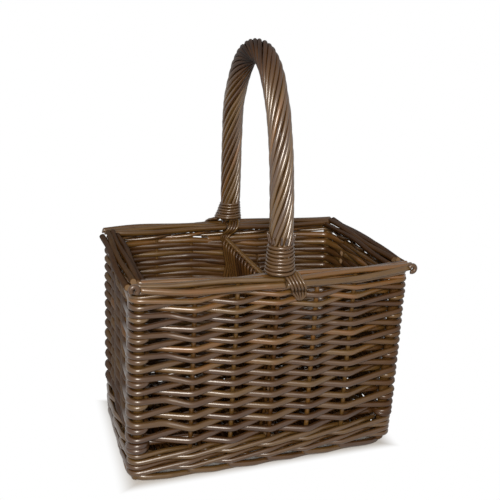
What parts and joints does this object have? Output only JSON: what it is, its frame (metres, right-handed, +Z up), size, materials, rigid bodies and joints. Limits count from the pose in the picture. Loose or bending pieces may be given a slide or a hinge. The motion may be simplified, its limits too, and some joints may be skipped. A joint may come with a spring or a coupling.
{
  "type": "wine bottle basket",
  "caption": "Rectangular woven willow bottle carrier with a divider, a rod border and a fixed roped arch handle.",
  "frame": {"origin": "on the ground under the middle of the basket", "axes": "+Z up, +X along the long walls, +Y from the front wall to the back wall; the handle's arch stands in the YZ plane"},
  "size_m": [0.3142, 0.2366, 0.4545],
  "materials": {
    "wall_willow": "dark brown stain under gloss varnish, with lighter worn streaks along the rods",
    "upright_willow": "dark brown stain under gloss varnish",
    "border_willow": "brown stain under gloss varnish, pale at the cut ends",
    "divider_willow": "reddish brown stain under gloss varnish",
    "handle_willow": "dark brown stain under gloss varnish, mottled along the twisted strands",
    "binding_willow": "split willow skein, brown stain under gloss varnish"
  },
  "bodies": {
    "root": {"back_collar": "binding_willow", "back_inner_tie": "binding_willow", "back_outer_tie": "binding_willow", "base_stick_1": "upright_willow", "base_stick_2": "upright_willow", "base_stick_3": "upright_willow", "base_stick_4": "upright_willow", "base_stick_5": "upright_willow", "base_weaver": "wall_willow", "border_back_inner_crown": "border_willow", "border_back_inner_edge": "border_willow", "border_back_outer_crown": "border_willow", "border_back_outer_edge": "border_willow", "border_front_inner_crown": "border_willow", "border_front_inner_edge": "border_willow", "border_front_outer_crown": "border_willow", "border_front_outer_edge": "border_willow", "border_left_inner_crown": "border_willow", "border_left_inner_edge": "border_willow", "border_left_outer_crown": "border_willow", "border_left_outer_edge": "border_willow", "border_right_inner_crown": "border_willow", "border_right_inner_edge": "border_willow", "border_right_outer_crown": "border_willow", "border_right_outer_edge": "border_willow", "bottom_wale_1": "wall_willow", "bottom_wale_2": "wall_willow", "corner_post_back_left": "upright_willow", "corner_post_back_right": "upright_willow", "corner_post_front_left": "upright_willow", "corner_post_front_right": "upright_willow", "divider_rod_1": "upright_willow", "divider_rod_2": "upright_willow", "divider_rod_3": "upright_willow", "divider_rod_4": "upright_willow", "divider_skein": "divider_willow", "foot_border": "border_willow", "front_collar": "binding_willow", "front_inner_tie": "binding_willow", "front_outer_tie": "binding_willow", "handle_bow": "upright_willow", "handle_rope": "handle_willow", "stake_back_1": "upright_willow", "stake_back_2": "upright_willow", "stake_back_4": "upright_willow", "stake_back_5": "upright_willow", "stake_front_1": "upright_willow", "stake_front_2": "upright_willow", "stake_front_4": "upright_willow", "stake_front_5": "upright_willow", "stake_left_1": "upright_willow", "stake_left_2": "upright_willow", "stake_left_3": "upright_willow", "stake_right_1": "upright_willow", "stake_right_2": "upright_willow", "stake_right_3": "upright_willow", "top_wale": "wall_willow", "wall_weaver_inner_posts": "wall_willow", "wall_weaver_outer_posts": "wall_willow"}
  },
  "joints": []
}
